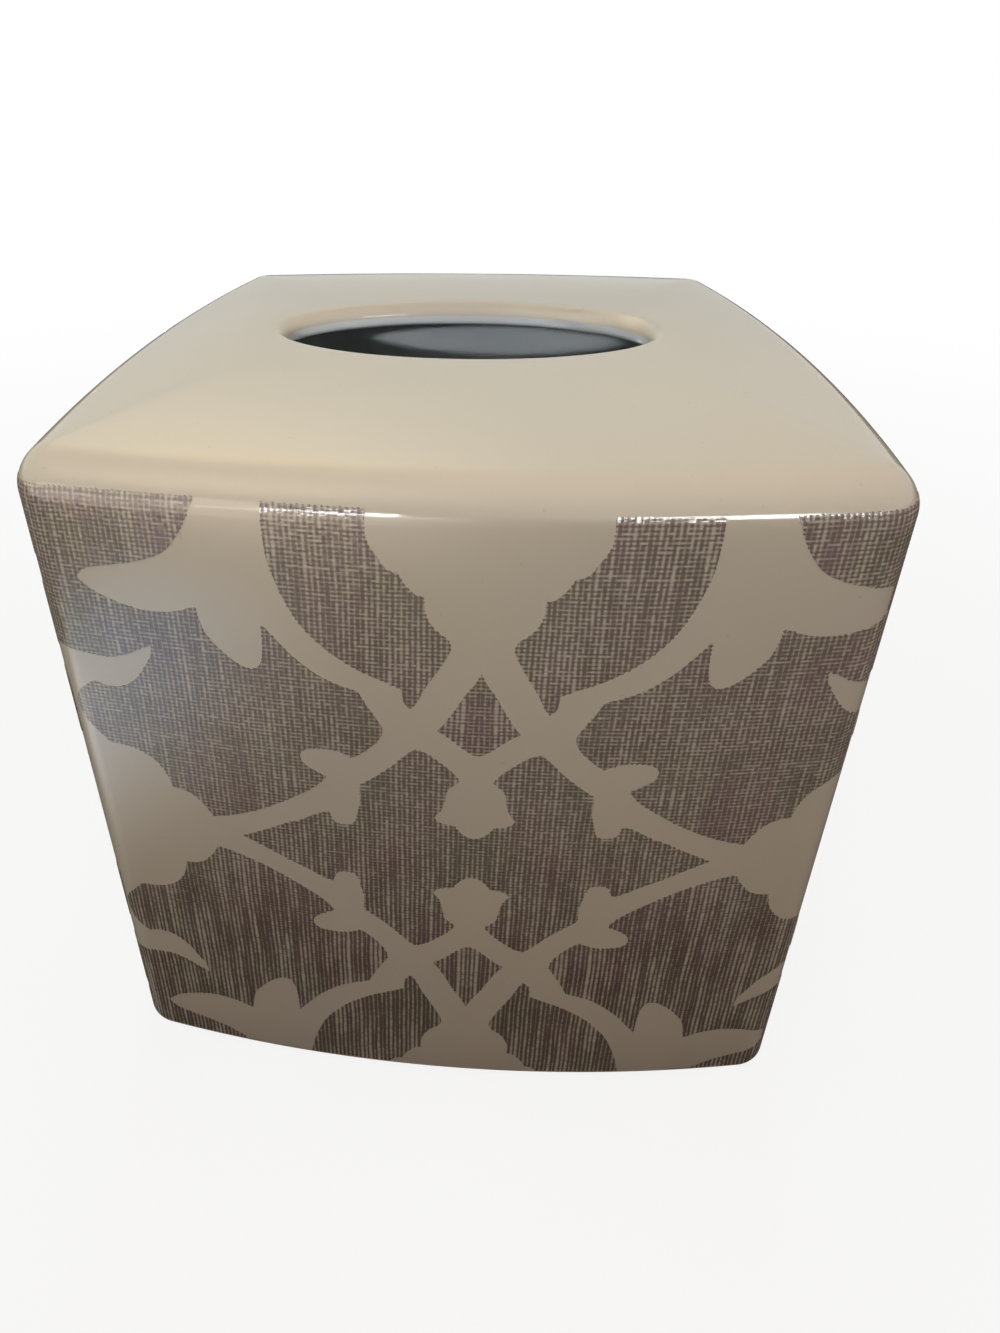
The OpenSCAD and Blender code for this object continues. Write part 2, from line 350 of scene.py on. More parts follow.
# Round the leaf spray, the small side leaf and the side palmette, out past the sheet's end
spray_gap_shares = [
    (1.12, 1.03, 1), (0.640, 1.03, 1), (0.664, 0.957), (0.690, 0.914), (0.725, 0.874), (0.779, 0.847),
    (0.844, 0.829), (0.902, 0.817), (0.943, 0.803), (0.964, 0.780, 1), (0.932, 0.751), (0.888, 0.729),
    (0.837, 0.713), (0.786, 0.706), (0.728, 0.711), (0.689, 0.724), (0.668, 0.731, 1), (0.662, 0.693),
    (0.649, 0.654), (0.614, 0.610), (0.576, 0.579), (0.544, 0.570), (0.523, 0.589), (0.514, 0.629),
    (0.511, 0.700, 1), (0.483, 0.666), (0.440, 0.616), (0.383, 0.569), (0.329, 0.543), (0.291, 0.529),
    (0.272, 0.494), (0.250, 0.457), (0.233, 0.423), (0.242, 0.389), (0.269, 0.356), (0.295, 0.333),
    (0.310, 0.324, 1), (0.344, 0.339), (0.386, 0.344), (0.425, 0.337), (0.443, 0.319), (0.438, 0.291),
    (0.413, 0.270), (0.380, 0.251, 1), (0.410, 0.214), (0.457, 0.177), (0.517, 0.137), (0.582, 0.100),
    (0.646, 0.073), (0.702, 0.057, 1), (0.718, 0.086), (0.747, 0.123), (0.777, 0.139), (0.809, 0.144, 1),
    (0.817, 0.183), (0.836, 0.220), (0.868, 0.249), (0.912, 0.267), (0.968, 0.273, 1), (1.000, 0.307),
    (1.032, 0.346), (1.047, 0.390), (1.030, 0.433), (0.980, 0.472, 1), (0.938, 0.462), (0.895, 0.469),
    (0.856, 0.497), (0.827, 0.537), (0.804, 0.574), (0.798, 0.606, 1), (0.830, 0.591), (0.873, 0.569),
    (0.942, 0.556), (1.12, 0.580, 1),
]

# Right half of the small diamond between the upper stems
diamond_shares = [
    (0, 0.603, 1), (0.017, 0.569), (0.039, 0.534), (0.067, 0.479), (0.087, 0.446), (0.100, 0.429, 1),
    (0.073, 0.410), (0.044, 0.384), (0.015, 0.361), (0, 0.357, 1),
]

# Upper right quarter of the cross in the middle, round the buds
cross_shares = [
    (0, 0.073, 1), (0.017, 0.077), (0.036, 0.094), (0.052, 0.116, 1), (0.079, 0.120),
    (0.096, 0.129), (0.103, 0.144, 1), (0.087, 0.166), (0.079, 0.199), (0.071, 0.240), (0.055, 0.256),
    (0.042, 0.271, 1), (0.061, 0.299), (0.095, 0.331), (0.128, 0.357), (0.154, 0.366, 1), (0.178, 0.344),
    (0.213, 0.304), (0.250, 0.269), (0.281, 0.243), (0.294, 0.226), (0.294, 0.179), (0.303, 0.131),
    (0.313, 0.099), (0.329, 0.090), (0.352, 0.090), (0.368, 0.101), (0.378, 0.130, 1), (0.408, 0.119),
    (0.451, 0.093), (0.498, 0.069), (0.553, 0.037), (0.597, 0.013), (0.623, 0, 1),
]

# The lower half of the ornament is longer than the upper one from here on down
low_from_share = 0.35
low_stretch_share = 0.10


def flipped(points, flip_x, flip_z):
    """The same outline flipped and run backwards, so that it carries on from the first."""
    return [(flip_x * p[0], flip_z * p[1], *p[2:]) for p in reversed(points)]


def both_sides(points):
    """The outline of a right half, carried on round its mirrored left half."""
    return points + [p for p in flipped(points, -1, 1) if p[0] != 0]


def above_and_below(points):
    """The outline of an upper half, carried on round its mirrored lower half."""
    return points + [p for p in flipped(points, 1, -1) if p[1] != 0]


def placed(share, flip_x, flip_z):
    """Where a share of the ornament lies on the flat sheet: along from the wall's middle, and up."""
    away = share[1]
    if flip_z < 0:
        away += low_stretch_share * max(0, away - low_from_share)
    z = motif_mid_z + flip_z * away * motif_half_h
    return Vector((flip_x * share[0] * side_half + motif_right, min(max(z, print_low_z), print_top_z)))


def slip(place):
    """How far a hand-laid sheet has moved at a place: sideways, and up or down."""
    share = max(0, 1 - (place.x / side_half) ** fall_fade)
    fall = sheet_drop + fall_share * (place.x - motif_right) * share
    return Vector((lean_share * (place.y - motif_mid_z), -fall))


def eased(a, b, c, d, t):
    """A smooth curve from b to c, where a and d are the points before and after."""
    bend = 2 * a - 5 * b + 4 * c - d
    twist = 3 * b - a - 3 * c + d
    return b + (c - a) * t / 2 + bend * t**2 / 2 + twist * t**3 / 2


def smooth_outline(points, flip_x, flip_z):
    """The island's outline as finely spaced places, in order."""
    outline = []
    n = len(points)
    for k, point in enumerate(points):
        after = points[(k + 1) % n]
        b = placed(point, flip_x, flip_z)
        c = placed(after, flip_x, flip_z)
        a = b if len(point) == 3 else placed(points[k - 1], flip_x, flip_z)
        d = c if len(after) == 3 else placed(points[(k + 2) % n], flip_x, flip_z)
        count = max(1, round((c - b).length / outline_step))
        outline += [eased(a, b, c, d, s / count) for s in range(count)]
    return outline


def thread_end(place, pitch, seed):
    """How far the edge reaches out at a place across the threads. Each thread has its own length."""
    thread = math.floor(place / pitch)
    draw = random.Random(seed + thread)
    length = draw.uniform(fray_least, fray_most)
    wave = -math.cos(math.tau * place / pitch)
    return length * max(fray_gap_share, min(1, fray_steepness * wave))


def frayed(outline):
    """The outline with the ends of the linen's threads in it."""
    n = len(outline)
    area = sum(outline[k - 1].cross(outline[k]) for k in range(n))
    ends = []
    for k, point in enumerate(outline):
        along = outline[(k + 1) % n] - outline[k - 1]
        out = Vector((along.y, -along.x)).normalized() * math.copysign(1, area)
        upright = thread_end(point.x, warp_pitch, warp_seed)
        level = thread_end(point.y, weft_pitch, weft_seed)
        ends.append(point + out * (abs(out.y) * upright + abs(out.x) * level))
    return ends


def island(bm, shares, flip_x=1, flip_z=1):
    """A flat slab of one printed island: x along the wall, y out from it and z up."""
    corners = []
    for point in frayed(smooth_outline(shares, flip_x, flip_z)):
        laid = point + slip(point)
        place = Vector((laid.x, film_low, max(laid.y, print_low_z)))
        if not corners or (corners[-1].co - place).length > merge_dist:
            corners.append(bm.verts.new(place))
    edges = [bm.edges.new((v, corners[k - 1])) for k, v in enumerate(corners)]
    flat = corners + edges + bmesh.ops.contextual_create(bm, geom=edges)["faces"]
    for end in (-1, 1):
        flat = bmesh.ops.bisect_plane(
            bm, geom=flat, plane_co=(end * side_half, 0, 0), plane_no=(end, 0, 0), clear_outer=True
        )["geom"]
    faces = [g for g in flat if isinstance(g, bmesh.types.BMFace)]
    raised = bmesh.ops.extrude_face_region(bm, geom=faces, use_keep_orig=True)["geom"]
    bmesh.ops.translate(
        bm,
        vec=(0, film_high - film_low, 0),
        verts=[g for g in raised if isinstance(g, bmesh.types.BMVert)],
    )


def on_wall(u, out_by, z):
    """A place over the front wall: u along it from its middle, out_by over its glaze, at height z."""
    if abs(u) <= bow_half:
        angle = u / bow_r
        centre = Vector((0, -bow_centre, 0))
        radius = bow_r
    else:
        angle = math.copysign(bow_turn + (abs(u) - bow_half) / corner_r, u)
        centre = Vector((math.copysign(corner_c, u), -corner_c, 0))
        radius = corner_r
    tilt = math.asin(min(max((z - shoulder_mid_z) / shoulder_r, 0), 1))
    reach = radius - shoulder_r + (shoulder_r + out_by) * math.cos(tilt)
    out = Vector((math.sin(angle), -math.cos(angle), 0))
    return centre + out * reach + up * (z + out_by * math.sin(tilt))


def transfer_print(name, quarter, fired_print):
    """One sheet of the print, bent over the glaze of its wall and of half of each corner."""
    bm = bmesh.new()
    island(bm, both_sides(above_and_below(cross_shares)))
    for flip_z in (-1, 1):
        island(bm, both_sides(diamond_shares), 1, flip_z)
        for flip_x in (-1, 1):
            island(bm, palmette_gap_shares, flip_x, flip_z)
            island(bm, spray_gap_shares, flip_x, flip_z)
    bends = steps_between(-bow_half, bow_half, print_bow_step)
    for u in steps_between(bow_half, side_half, print_corner_step)[1:-1]:
        bends += [-u, u]
    cuts = [((u, 0, 0), (1, 0, 0)) for u in bends]
    cuts += [((0, 0, z), up) for z in steps_between(shoulder_mid_z, print_top_z, print_shoulder_step)[:-1]]
    for place, across in cuts:
        bmesh.ops.bisect_plane(bm, geom=whole(bm), dist=cut_dist, plane_co=place, plane_no=across)
    bmesh.ops.recalc_face_normals(bm, faces=bm.faces)
    for edge in bm.edges:
        edge.smooth = edge.calc_face_angle(0) < crease_angle
    linen = bm.loops.layers.uv.new("linen")
    for face in bm.faces:
        face.smooth = True
        for loop in face.loops:
            place = loop.vert.co.xz
            loop[linen].uv = place - slip(place) - Vector((motif_right, 0))
    for v in bm.verts:
        v.co = on_wall(*v.co)
    to_side = Matrix.Rotation(quarter * math.pi / 2, 3, "Z")
    bmesh.ops.rotate(bm, cent=(0, 0, 0), matrix=to_side, verts=bm.verts)
    return finish_piece(bm, name.replace("print", "transfer"), [fired_print], name)


# Materials
glaze_ior = 1.5
# Heights of the glaze's waves outside and inside, of the printed threads, and of the bare clay's grain
wave_height = 0.12 * mm
hollow_wave_height = 0.3 * mm
thread_height = 0.03 * mm
grain_height = 0.05 * mm

# Noise runs from 0 to 1 about this middle, with some layers of finer noise on the first
noise_middle = 0.5
few_layers = 1.0
some_layers = 2.0
many_layers = 3.0


def add(tree, kind, **settings):
    """A new node of the kind, with some of its settings."""
    node = tree.nodes.new(kind)
    for name, value in settings.items():
        setattr(node, name, value)
    return node


class Amount:
    """A number that varies over the surface: a node's output, which takes part in sums as numbers do."""

    def __init__(self, tree, socket):
        self.tree = tree
        self.socket = socket

    def __add__(self, other):
        return maths(self.tree, "ADD", self, other)

    def __sub__(self, other):
        return maths(self.tree, "SUBTRACT", self, other)

    def __rsub__(self, other):
        return maths(self.tree, "SUBTRACT", other, self)

    def __mul__(self, other):
        return maths(self.tree, "MULTIPLY", self, other)

    def __truediv__(self, other):
        return maths(self.tree, "DIVIDE", self, other)

    __radd__ = __add__
    __rmul__ = __mul__


def feed(tree, socket, value):
    """Links the socket to an amount or another socket, or gives it a value."""
    if isinstance(value, Amount):
        value = value.socket
    if isinstance(value, bpy.types.NodeSocket):
        tree.links.new(value, socket)
    else:
        socket.default_value = value


def maths(tree, operation, *values, clamp=False):
    """What one sum makes of some amounts and numbers."""
    node = add(tree, "ShaderNodeMath", operation=operation, use_clamp=clamp)
    for socket, value in zip(node.inputs, values):
        feed(tree, socket, value)
    return Amount(tree, node.outputs[0])


def largest(*amounts):
    """The largest of some amounts at each place."""
    found = amounts[0]
    for other in amounts[1:]:
        found = maths(found.tree, "MAXIMUM", found, other)
    return found


def clamped(amount):
    """The amount, kept between 0 and 1."""
    return maths(amount.tree, "ADD", amount, 0.0, clamp=True)


def combined(tree, x, y, z=0.0):
    """A place made of three amounts or numbers."""
    node = add(tree, "ShaderNodeCombineXYZ")
    for socket, value in zip(node.inputs, (x, y, z)):
        feed(tree, socket, value)
    return node.outputs[0]


def noise(tree, place, scale, layers=some_layers):
    """Smooth noise from 0 to 1, with about as many waves to the metre as the scale."""
    node = add(tree, "ShaderNodeTexNoise")
    feed(tree, node.inputs["Vector"], place)
    feed(tree, node.inputs["Scale"], scale)
    feed(tree, node.inputs["Detail"], layers)
    return Amount(tree, node.outputs["Fac"])


def sway(tree, place, scale, reach, layers=some_layers):
    """Smooth noise to either side of 0."""
    return (noise(tree, place, scale, layers) - noise_middle) * reach


def chance(tree, number, other):
    """A value from 0 to 1 that each pair of whole numbers keeps."""
    node = add(tree, "ShaderNodeTexWhiteNoise", noise_dimensions="2D")
    feed(tree, node.inputs["Vector"], combined(tree, number, other))
    return Amount(tree, node.outputs["Value"])


def mixed(tree, share, a, b):
    """Colour a at share 0, colour b at share 1."""
    node = add(tree, "ShaderNodeMix", data_type="RGBA")
    feed(tree, node.inputs["Factor"], share)
    feed(tree, node.inputs["A"], a)
    feed(tree, node.inputs["B"], b)
    return node.outputs["Result"]


def spread(tree, value, source, target=(0.0, 1.0)):
    """The value, eased from the source range onto the target range."""
    node = add(tree, "ShaderNodeMapRange", interpolation_type="SMOOTHSTEP")
    feed(tree, node.inputs["Value"], value)
    for name, end in zip(("From Min", "From Max", "To Min", "To Max"), source + target):
        feed(tree, node.inputs[name], end)
    return Amount(tree, node.outputs["Result"])


def new_group(name, inputs, outputs):
    """An empty node group with the named sockets, and its two end nodes."""
    tree = bpy.data.node_groups.new(name, "ShaderNodeTree")
    for socket, kind in inputs:
        tree.interface.new_socket(name=socket, in_out="INPUT", socket_type=kind)
    for socket, kind in outputs:
        tree.interface.new_socket(name=socket, in_out="OUTPUT", socket_type=kind)
    return tree, add(tree, "NodeGroupInput"), add(tree, "NodeGroupOutput")


# The printed linen. Bare glaze shows in the gaps between its threads. Scales are in waves to the metre,
# widths are shares of the threads' pitch, and a name with by in it says how strongly one thing acts on
# another.

# From the first height down to the second the weave gives way to plain upright threads
weave_above_z = 93 * mm
weave_below_z = 23 * mm
patch_scale = 75.0
fibre_scale = 1500.0
fibre_reach = 0.55
fuzz_by_fibre = 0.5
wander_scale = 45.0
wander_reach = 1.1
# A thread's own middle lies half a pitch from the middle of the gap beside it
thread_middle = 0.5

# Gaps between upright threads
upright_gap_width = 0.15
opening_scale = 42.0
opening_reach = 0.75
opening_by_low = 0.25
upright_by_patches = 0.24
upright_by_cell = 0.10

# Level threads that tie these gaps
tie_width = 0.12
tie_by_opening = 1.1
tie_by_patches = 0.5
tie_by_chance = 1.3
tie_least = 0.22
tie_by_low = 0.80

# Gaps between level threads, which show as dashes
level_gap_width = 0.10
level_by_low = 0.24
level_by_cell = 0.12
dash_scale = 30.0
dash_reach = 0.60
dash_by_chance = 1.5
dash_missing = 0.28
dash_by_low = 0.50

# How much ink a bare gap lacks, how dark the ink is, and how far it turns from rose to olive
ink_by_bare = 0.88
tone_least = 0.15
tone_by_low = 0.45
tone_by_crossing = 0.35
crossing_by_low = 0.2
tone_by_fibre = 0.6
cloud_scale = 130.0
cloud_reach = 0.5
olive_scale = 85.0
olive_reach = 3.4
olive_middle = 0.5

# How high the threads stand, as shares of thread_height
upright_ridge = 0.5
level_ridge = 0.2
bead_scale = 650.0
bead_reach = 2.8
height_by_cell = 0.6
height_by_fibre = 0.5

# Steps through the noise that give each thread and gap, and each kind of mark, a course of its own
gap_apart = 5.17
row_apart = 3.31
bead_apart = 3.7
tie_apart = 0.37
dash_apart = 0.71
olive_apart = 0.5


def threads_across(tree, across, pitch, wander):
    """The number of the thread here, that of the nearest gap, and how far off that gap's middle is."""
    threads = across / pitch + wander
    thread = maths(tree, "FLOOR", threads)
    gap = maths(tree, "FLOOR", threads + thread_middle)
    return thread, gap, maths(tree, "ABSOLUTE", threads - gap)


def gap_opened(width, off, fuzz):
    """1 inside the gap and 0 on the threads beside it, with a soft, fuzzy edge half way between."""
    return clamped((width - off + fuzz) / edge_soft + 0.5)


def linen_group():
    """Printed linen: where the ink lies, how dark it is and how high it stands, from a place in metres."""
    tree, given, out = new_group(
        "printed linen",
        [("Place", "NodeSocketVector")],
        [(name, "NodeSocketFloat") for name in ("Ink", "Tone", "Olive", "Height")],
    )
    split = add(tree, "ShaderNodeSeparateXYZ")
    tree.links.new(given.outputs["Place"], split.inputs[0])
    side = maths(tree, "ABSOLUTE", split.outputs["X"])
    height = Amount(tree, split.outputs["Y"])
    flat = combined(tree, side, height)
    low = spread(tree, height, (weave_below_z, weave_above_z), (1.0, 0.0))
    patches = sway(tree, flat, patch_scale, 1.0)

    # The threads wander a little, and fibres make their edges uneven
    fibre = sway(tree, flat, fibre_scale, fibre_reach, many_layers)
    fuzz = fibre * fuzz_by_fibre
    wander = sway(tree, flat, wander_scale, wander_reach)
    upright_thread, upright_gap, off_upright = threads_across(tree, side, warp_pitch, wander)
    level_thread, level_gap, off_level = threads_across(tree, height, weft_pitch, wander)
    cell = chance(tree, upright_gap, level_gap) - noise_middle

    # Each gap between upright threads opens and closes along its length, and level threads tie it
    along_gap = combined(tree, upright_gap * gap_apart, height * opening_scale)
    opening = sway(tree, along_gap, 1.0, opening_reach)
    widening = opening * (1.0 + low * opening_by_low)
    widening = widening + patches * upright_by_patches + cell * upright_by_cell
    gap = gap_opened(upright_gap_width + widening, off_upright, fuzz)
    tie_held = chance(tree, upright_gap + tie_apart, level_thread)
    tie_held = tie_held - opening * tie_by_opening - patches * tie_by_patches
    tie = clamped((off_level + fuzz - tie_width) / edge_soft)
    tie = tie * clamped(tie_held * tie_by_chance + tie_least - low * tie_by_low)

    # Here and there the print has missed a level gap's length too
    along_row = combined(tree, side * dash_scale, level_gap * row_apart)
    missed_width = sway(tree, along_row, 1.0, dash_reach, few_layers) + cell * level_by_cell
    dash = gap_opened(level_gap_width - low * level_by_low + missed_width, off_level, fuzz)
    missed_here = chance(tree, upright_thread + dash_apart, level_gap)
    dash = dash * clamped(missed_here * dash_by_chance - dash_missing - low * dash_by_low)
    bare = largest(gap * (1.0 - tie), dash)
    feed(tree, out.inputs["Ink"], 1.0 - bare * ink_by_bare)

    # The ink is darkest where threads cross, and near the foot
    crossing = clamped(off_upright / thread_middle) * clamped(off_level / thread_middle)
    tone = tone_least + low * tone_by_low + crossing * (tone_by_crossing - low * crossing_by_low)
    cloud = sway(tree, flat, cloud_scale, cloud_reach, many_layers)
    feed(tree, out.inputs["Tone"], clamped(tone + cloud + fibre * tone_by_fibre))
    olive = sway(tree, combined(tree, side, height, olive_apart), olive_scale, olive_reach)
    feed(tree, out.inputs["Olive"], clamped(olive + olive_middle))

    # Every thread stands up in the middle, and upright ones are beaded
    across = (0.0, thread_middle)
    ridges = spread(tree, off_upright, across) * upright_ridge
    ridges = ridges + spread(tree, off_level, across) * level_ridge
    beads = sway(tree, combined(tree, upright_thread * bead_apart, height * bead_scale), 1.0, bead_reach)
    feed(tree, out.inputs["Height"], ridges + beads + cell * height_by_cell + fibre * height_by_fibre)
    return tree


def glaze_group():
    """The glaze's own colour, gloss and gentle waves, the same under the print and beside it."""
    cool_cream = (0.655, 0.600, 0.490, 1)
    warm_cream = (0.675, 0.610, 0.480, 1)
    cream_scale = 14.0
    cream_range = (0.35, 0.65)
    pinhole = (0.40, 0.37, 0.32, 1)
    pinhole_scale = 900.0
    pinhole_range = (0.76, 0.80)
    pinhole_shares = (0.0, 0.25)
    gloss_scale = 35.0
    gloss_range = (0.3, 0.7)
    roughness_range = (0.07, 0.11)
    wave_scale = 45.0
    tree, given, out = new_group(
        "glaze",
        [("Place", "NodeSocketVector")],
        [("Color", "NodeSocketColor"), ("Roughness", "NodeSocketFloat"), ("Waves", "NodeSocketFloat")],
    )
    place = given.outputs["Place"]
    cream = mixed(tree, spread(tree, noise(tree, place, cream_scale), cream_range), cool_cream, warm_cream)
    flecks = spread(tree, noise(tree, place, pinhole_scale, few_layers), pinhole_range, pinhole_shares)
    feed(tree, out.inputs["Color"], mixed(tree, flecks, cream, pinhole))
    gloss = noise(tree, place, gloss_scale)
    feed(tree, out.inputs["Roughness"], spread(tree, gloss, gloss_range, roughness_range))
    feed(tree, out.inputs["Waves"], noise(tree, place, wave_scale, few_layers))
    return tree


def new_material(name):
    """A new material, its tree and its shader."""
    material = bpy.data.materials.new(name)
    material.use_nodes = True
    tree = material.node_tree
    return material, tree, tree.nodes["Principled BSDF"]


def object_place(tree):
    """The place on the piece, in the frame that all the pieces share."""
    return add(tree, "ShaderNodeTexCoord").outputs["Object"]


def placed_group(tree, group, place):
    """The outputs of a group, set to work at the place."""
    node = add(tree, "ShaderNodeGroup", node_tree=group)
    tree.links.new(place, node.inputs["Place"])
    return node.outputs


def bumped(tree, shader, height, distance, before=None):
    """Raises the shader's surface by the height times the distance, over the bumps before."""
    node = add(tree, "ShaderNodeBump")
    node.inputs["Distance"].default_value = distance
    feed(tree, node.inputs["Height"], height)
    if before:
        feed(tree, node.inputs["Normal"], before)
    tree.links.new(node.outputs[0], shader.inputs["Normal"])
    return node.outputs[0]


def glaze_material(glaze):
    """Cream glaze, glossy all over."""
    material, tree, shader = new_material("cream glaze")
    surface = placed_group(tree, glaze, object_place(tree))
    feed(tree, shader.inputs["Base Color"], surface["Color"])
    feed(tree, shader.inputs["Roughness"], surface["Roughness"])
    bumped(tree, shader, surface["Waves"], wave_height)
    shader.inputs["IOR"].default_value = glaze_ior
    return material


def hollow_material(glaze):
    """Thinner, whiter glaze inside, which no print covers. Its cool blue-grey tint is painted cool light in
    the hollow.
    """
    # Painted cool light: both colours carry a blue-grey tint from the light in the hollow, over whiter glaze
    cool_lit_thick_glaze = (0.78, 0.80, 0.81, 1)
    cool_lit_thin_glaze = (0.66, 0.68, 0.70, 1)
    blotch_scale = 25.0
    material, tree, shader = new_material("hollow glaze with painted cool light")
    place = object_place(tree)
    surface = placed_group(tree, glaze, place)
    patches = noise(tree, place, blotch_scale, many_layers)
    feed(tree, shader.inputs["Base Color"], mixed(tree, patches, cool_lit_thick_glaze, cool_lit_thin_glaze))
    shader.inputs["Roughness"].default_value = 0.25
    bumped(tree, shader, surface["Waves"], hollow_wave_height)
    shader.inputs["IOR"].default_value = glaze_ior
    return material


def biscuit_material():
    """The foot, wiped free of glaze: pale, dry clay with rubbed specks."""
    clean_clay = (0.62, 0.56, 0.47, 1)
    rubbed_clay = (0.44, 0.38, 0.30, 1)
    rubbed_scale = 60.0
    rubbed_range = (0.4, 0.7)
    speck = (0.30, 0.26, 0.20, 1)
    grain_scale = 1800.0
    speck_range = (0.55, 0.7)
    speck_shares = (0.0, 0.4)
    material, tree, shader = new_material("bare biscuit")
    place = object_place(tree)
    grain = noise(tree, place, grain_scale, many_layers)
    rubbed = spread(tree, noise(tree, place, rubbed_scale, many_layers), rubbed_range)
    clay = mixed(tree, rubbed, clean_clay, rubbed_clay)
    specks = spread(tree, grain, speck_range, speck_shares)
    feed(tree, shader.inputs["Base Color"], mixed(tree, specks, clay, speck))
    shader.inputs["Roughness"].default_value = 0.85
    bumped(tree, shader, grain, grain_height)
    return material


def print_material(glaze, linen):
    """The fired print: taupe linen threads, with the glaze showing between them."""
    pale_rose = (0.285, 0.220, 0.205, 1)
    pale_olive = (0.262, 0.236, 0.180, 1)
    deep_rose = (0.092, 0.048, 0.040, 1)
    deep_olive = (0.072, 0.060, 0.032, 1)
    ink_dullness = 0.05
    material, tree, shader = new_material("fired linen print")
    surface = placed_group(tree, glaze, object_place(tree))
    threads = placed_group(tree, linen, add(tree, "ShaderNodeUVMap", uv_map="linen").outputs["UV"])
    pale = mixed(tree, threads["Olive"], pale_rose, pale_olive)
    deep = mixed(tree, threads["Olive"], deep_rose, deep_olive)
    taupe = mixed(tree, threads["Tone"], pale, deep)
    feed(tree, shader.inputs["Base Color"], mixed(tree, threads["Ink"], surface["Color"], taupe))
    dull = Amount(tree, threads["Ink"]) * ink_dullness
    feed(tree, shader.inputs["Roughness"], dull + Amount(tree, surface["Roughness"]))
    waves = bumped(tree, shader, surface["Waves"], wave_height)
    bumped(tree, shader, threads["Height"], thread_height, waves)
    shader.inputs["IOR"].default_value = glaze_ior
    return material


# Stage, light and camera
white = (1, 1, 1, 1)
Glow = namedtuple("Glow", "centre reach tint level")


def ray_kinds(tree):
    """1 for the rays that show the background straight or through glass, and 1 for those that mirror it."""
    path = add(tree, "ShaderNodeLightPath")
    straight = maths(tree, "MAXIMUM", path.outputs["Is Camera Ray"], path.outputs["Is Transmission Ray"])
    return straight, Amount(tree, path.outputs["Is Glossy Ray"])


def pool(tree, place, centre, reach):
    """1 at the centre, easing to 0 at the reach."""
    away = add(tree, "ShaderNodeVectorMath", operation="DISTANCE")
    feed(tree, away.inputs[0], place)
    feed(tree, away.inputs[1], centre)
    return spread(tree, away.outputs["Value"], (0.0, reach), (1.0, 0.0))


def with_glows(tree, place, tint, level, glows):
    """The tint and strength of a mirrored surface, with round glows laid over it one after another."""
    for glow in glows:
        share = pool(tree, place, glow.centre, glow.reach)
        tint = mixed(tree, share, tint, glow.tint)
        level = level + share * (glow.level - level)
    return tint, level


def background(tree, shown, tint, level):
    """The background's colour and strength: white where it is shown, its own where a gloss mirrors it."""
    straight, mirrored = shown
    return mixed(tree, mirrored, white, tint), straight + mirrored * level


def floor():
    """A pale floor, which shows white but for the cover's soft shadow. The glaze mirrors glows on it."""
    half_size = 6.0
    pale = (0.85, 0.85, 0.85, 1)
    bounce = (0.24, 0.165, 0.125, 1)
    shadow_reach = 0.75
    shadow_share = 0.16
    # The floor that the glaze mirrors is dark near the cover and glows far off to the left
    near_level = 0.06
    far_level = 3.8
    far_tint = (1.0, 0.86, 0.74, 1)
    far_y = (-0.36, -0.245)
    far_x = (-0.22, 0.12)
    window_glow = Glow(centre=(-0.165, -0.185, 0), reach=0.125, tint=(0.42, 0.70, 1.0, 1), level=2.3)
    near_glow = Glow(centre=(-0.175, -0.125, 0), reach=0.085, tint=(0.84, 0.92, 1.0, 1), level=2.6)

    bm = bmesh.new()
    bmesh.ops.create_grid(bm, x_segments=1, y_segments=1, size=half_size)
    mesh = bpy.data.meshes.new("floor")
    bm.to_mesh(mesh)
    bm.free()
    stage = bpy.data.objects.new("floor", mesh)
    bpy.context.collection.objects.link(stage)

    material, tree, shader = new_material("pale floor")
    mesh.materials.append(material)
    shader.inputs["Roughness"].default_value = 0.9
    shown = ray_kinds(tree)
    straight, mirrored = shown
    place = object_place(tree)
    split = add(tree, "ShaderNodeSeparateXYZ")
    tree.links.new(place, split.inputs[0])
    fading = (1.0, 0.0)
    far_off = spread(tree, split.outputs["Y"], far_y, fading)
    far_left = far_off * spread(tree, split.outputs["X"], far_x, fading)
    level = far_left * far_level + near_level
    tint, level = with_glows(tree, place, far_tint, level, (window_glow, near_glow))
    color, level = background(tree, shown, tint, level)
    # The camera sees the floor pale, and the light that it throws back on the cover is darker and warm
    feed(tree, shader.inputs["Base Color"], mixed(tree, straight, bounce, pale))
    shine = add(tree, "ShaderNodeEmission")
    feed(tree, shine.inputs["Color"], color)
    feed(tree, shine.inputs["Strength"], level)
    # Near the cover some of the camera's white gives way to the floor's own shading, and so to the shadow
    white_share = 1.0 - pool(tree, place, (0, 0, 0), shadow_reach) * shadow_share
    blend = add(tree, "ShaderNodeMixShader")
    feed(tree, blend.inputs[0], largest(straight * white_share, mirrored))
    tree.links.new(shader.outputs[0], blend.inputs[1])
    tree.links.new(shine.outputs[0], blend.inputs[2])
    tree.links.new(blend.outputs[0], tree.nodes["Material Output"].inputs["Surface"])


def world():
    """A white background, a little light from all round, and two warm glows of a room in the gloss."""
    mirrored_level = 0.8
    ambient = 0.012
    ceiling = Glow(centre=(-0.31, 0.59, 0.74), reach=0.55, tint=(1.0, 0.82, 0.50, 1), level=2.6)
    room = Glow(centre=(-0.46, -0.58, 0.67), reach=0.6, tint=(1.0, 0.88, 0.70, 1), level=2.8)
    made = bpy.data.worlds.new("studio")
    made.use_nodes = True
    tree = made.node_tree
    direction = add(tree, "ShaderNodeTexCoord").outputs["Generated"]
    tint, level = with_glows(tree, direction, white, mirrored_level, (ceiling, room))
    color, level = background(tree, ray_kinds(tree), tint, level)
    feed(tree, tree.nodes["Background"].inputs["Color"], color)
    feed(tree, tree.nodes["Background"].inputs["Strength"], maths(tree, "MAXIMUM", level, ambient))
    bpy.context.scene.world = made


